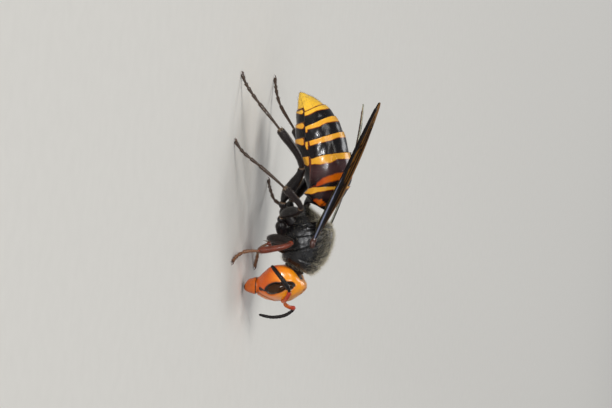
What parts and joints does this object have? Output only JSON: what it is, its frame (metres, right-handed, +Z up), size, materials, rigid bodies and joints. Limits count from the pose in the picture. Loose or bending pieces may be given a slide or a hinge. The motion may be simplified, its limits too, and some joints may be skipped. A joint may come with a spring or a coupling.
{
  "type": "asian giant hornet",
  "caption": "Life-size still hornet, head low, wings raised and folded along a black and yellow banded gaster, orange head, standing on bent spiny legs.",
  "frame": {"origin": "on the floor, under the middle of the whole model's box", "axes": "+X forward to the head, +Y to the hornet's left side, +Z up from the floor"},
  "size_m": [0.0438, 0.0334, 0.024],
  "materials": {
    "head_cuticle": "smooth polished cuticle, orange, deeper below the eye",
    "mandible_cuticle": "smooth orange cuticle with dark teeth",
    "eye_cornea": "glossy dark brown facets",
    "scape_cuticle": "smooth red orange cuticle",
    "flagellum_cuticle": "dull black, finely downy",
    "thorax_cuticle": "black cuticle with pale brown hair",
    "gaster_cuticle": "glossy brown black cuticle with yellow bands",
    "gaster_band": "glossy yellow cuticle",
    "wing_membrane": "smoky amber membrane with dark veins",
    "leg_cuticle": "black brown cuticle with short hair",
    "fore_leg_cuticle": "red brown cuticle with short hair",
    "hair": "fine pale brown hair"
  },
  "bodies": {
    "root": {"head": "head_cuticle", "mandible_l": "mandible_cuticle", "mandible_r": "mandible_cuticle", "eye_l": "eye_cornea", "eye_r": "eye_cornea", "scape_l": "scape_cuticle", "scape_r": "scape_cuticle", "flagellum_l": "flagellum_cuticle", "flagellum_r": "flagellum_cuticle", "thorax": "thorax_cuticle", "gaster_1": "gaster_cuticle", "gaster_2": "gaster_cuticle", "gaster_3": "gaster_cuticle", "gaster_4": "gaster_cuticle", "gaster_5": "gaster_cuticle", "gaster_6": "gaster_band", "forewing_l": "wing_membrane", "forewing_r": "wing_membrane", "hindwing_l": "wing_membrane", "hindwing_r": "wing_membrane", "fore_coxa_l": "leg_cuticle", "fore_coxa_r": "leg_cuticle", "fore_femur_l": "leg_cuticle", "fore_femur_r": "leg_cuticle", "fore_tibia_l": "fore_leg_cuticle", "fore_tibia_r": "fore_leg_cuticle", "fore_tarsus_l": "fore_leg_cuticle", "fore_tarsus_r": "fore_leg_cuticle", "mid_coxa_l": "leg_cuticle", "mid_coxa_r": "leg_cuticle", "mid_femur_l": "leg_cuticle", "mid_femur_r": "leg_cuticle", "mid_tibia_l": "leg_cuticle", "mid_tibia_r": "leg_cuticle", "mid_tarsus_l": "leg_cuticle", "mid_tarsus_r": "leg_cuticle", "hind_coxa_l": "leg_cuticle", "hind_coxa_r": "leg_cuticle", "hind_femur_l": "leg_cuticle", "hind_femur_r": "leg_cuticle", "hind_tibia_l": "leg_cuticle", "hind_tibia_r": "leg_cuticle", "hind_tarsus_l": "leg_cuticle", "hind_tarsus_r": "leg_cuticle"}
  },
  "joints": []
}
